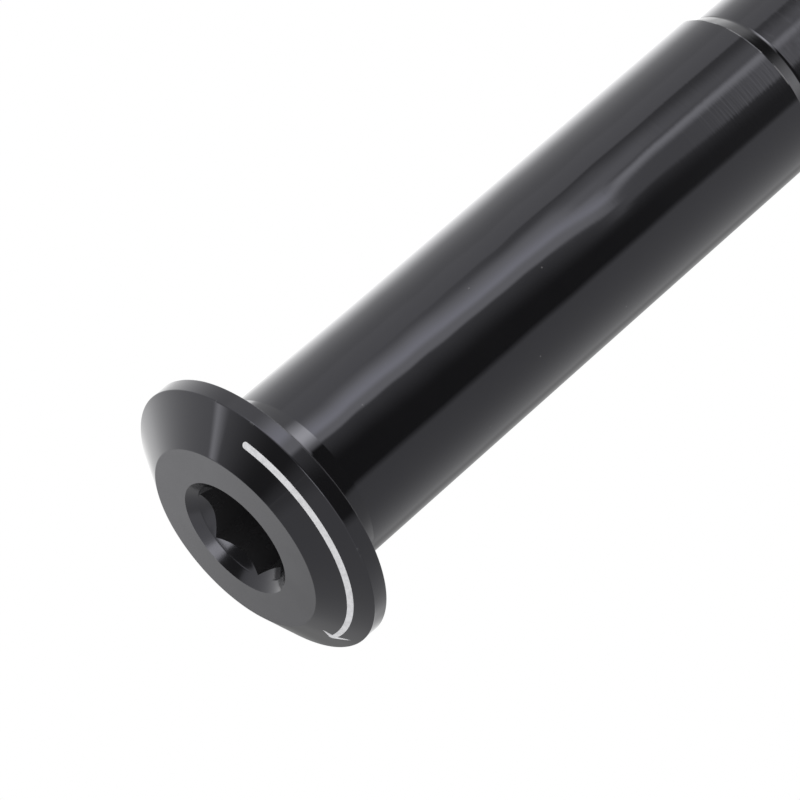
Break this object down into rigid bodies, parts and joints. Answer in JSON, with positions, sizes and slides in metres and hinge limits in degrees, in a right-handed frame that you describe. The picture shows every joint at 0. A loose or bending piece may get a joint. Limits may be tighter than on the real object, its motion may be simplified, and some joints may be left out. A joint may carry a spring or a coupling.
{
  "type": "bicycle thru axle",
  "caption": "Long turned axle with a bevelled round head, a hex key socket, a relieved shaft and a threaded end, for clamping a wheel hub between frame dropouts.",
  "frame": {"origin": "centre of the flat ring at the threaded end, which the axle stands on", "axes": "+Z along the axle's axis from the threaded end to the head, +X through a corner of the hex socket"},
  "size_m": [0.0188, 0.0188, 0.168],
  "materials": {
    "black_anodised": "black anodised, turned, semi gloss"
  },
  "bodies": {
    "root": {"thru_axle": "black_anodised"}
  },
  "joints": []
}
